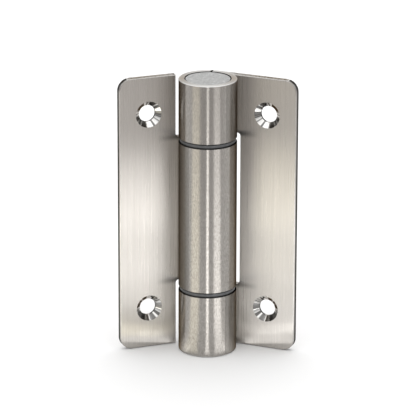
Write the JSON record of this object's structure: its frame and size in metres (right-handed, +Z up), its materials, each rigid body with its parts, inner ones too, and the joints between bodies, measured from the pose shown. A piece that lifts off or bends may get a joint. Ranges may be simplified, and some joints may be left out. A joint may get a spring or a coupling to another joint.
{
  "type": "rise and fall hinge",
  "caption": "Satin stainless cubicle door hinge: interleaved barrel knuckles with dark nylon rings, a sprung rising cam inside, and flat leaves with countersunk holes.",
  "frame": {"origin": "centre of the barrel's lower end, on the axis that the door turns about", "axes": "+Z up the barrel, +Y out of the back face of the frame leaf, +X from the barrel along the frame leaf"},
  "size_m": [0.0586, 0.0249, 0.1],
  "materials": {
    "stainless": "satin stainless steel, fine upright grain",
    "plug_steel": "stainless steel, blasted and lightly scratched",
    "ring_nylon": "dark grey nylon",
    "cam_nylon": "natural nylon",
    "shaft_steel": "drawn steel bar",
    "spring_steel": "spring wire",
    "socket_steel": "sintered steel"
  },
  "bodies": {
    "frame_side": {"frame_leaf": "stainless", "shaft": "shaft_steel", "lower_clip": "spring_steel", "upper_clip": "spring_steel", "thrust_washer": "shaft_steel", "spring_seat": "shaft_steel", "spring": "spring_steel", "lower_anchor": "socket_steel", "upper_anchor": "socket_steel", "lower_key": "shaft_steel", "upper_key": "shaft_steel", "bottom_plug": "plug_steel", "top_plug": "plug_steel"},
    "door_side": {"door_leaf": "stainless", "upper_bush": "ring_nylon", "lower_bush": "ring_nylon", "cam": "cam_nylon", "cam_key": "shaft_steel"},
    "follower_side": {"follower": "cam_nylon"}
  },
  "joints": [
    {"name": "door_swing", "type": "hinge", "parent": "frame_side", "child": "door_side", "pos_m": [0, 0, 0], "axis": [0, 0, 1], "range_deg": [-43, 127]},
    {"name": "follower_lift", "type": "slide", "parent": "frame_side", "child": "follower_side", "axis": [0, 0, 1], "range_m": [-0.00215, 0.00635], "deforming": ["spring"]}
  ],
  "couplings": [
    {"joint": "follower_lift", "follows": "door_swing", "m_per_rad": 0.0028648}
  ]
}
